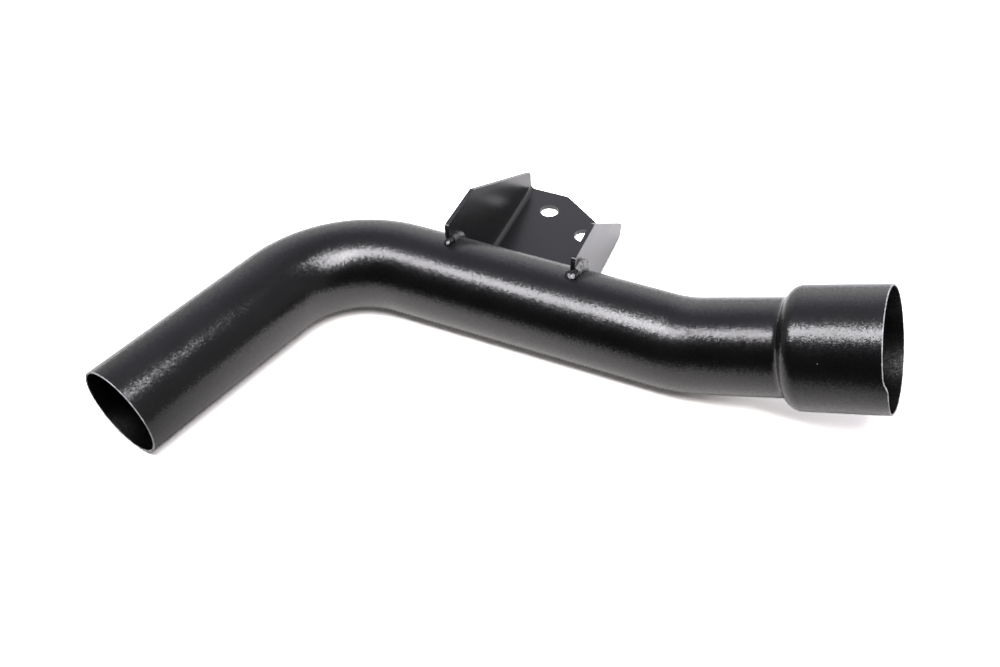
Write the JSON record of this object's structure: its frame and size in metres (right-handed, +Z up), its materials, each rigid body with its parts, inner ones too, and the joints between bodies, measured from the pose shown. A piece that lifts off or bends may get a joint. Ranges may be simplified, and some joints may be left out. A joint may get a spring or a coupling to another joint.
{
  "type": "exhaust tube",
  "caption": "Bent steel exhaust tube with a plain end, a swaged slip-joint socket and a welded folded-sheet bracket that bolts to a vehicle, in black powder coat.",
  "frame": {"origin": "middle of the part's bounding box, on the floor it lies on", "axes": "+X runs along the middle run towards the slip-joint socket, +Y points from the tube to the bracket's far end, +Z points up from the floor as the part lies in the picture"},
  "size_m": [0.4766, 0.346, 0.1113],
  "materials": {
    "black_powder_coat": "semi-gloss black powder coat with a fine orange-peel grain"
  },
  "bodies": {
    "root": {"exhaust_tube": "black_powder_coat", "mounting_bracket": "black_powder_coat", "left_weld_bead": "black_powder_coat", "right_weld_bead": "black_powder_coat", "web_weld_bead": "black_powder_coat"}
  },
  "joints": []
}
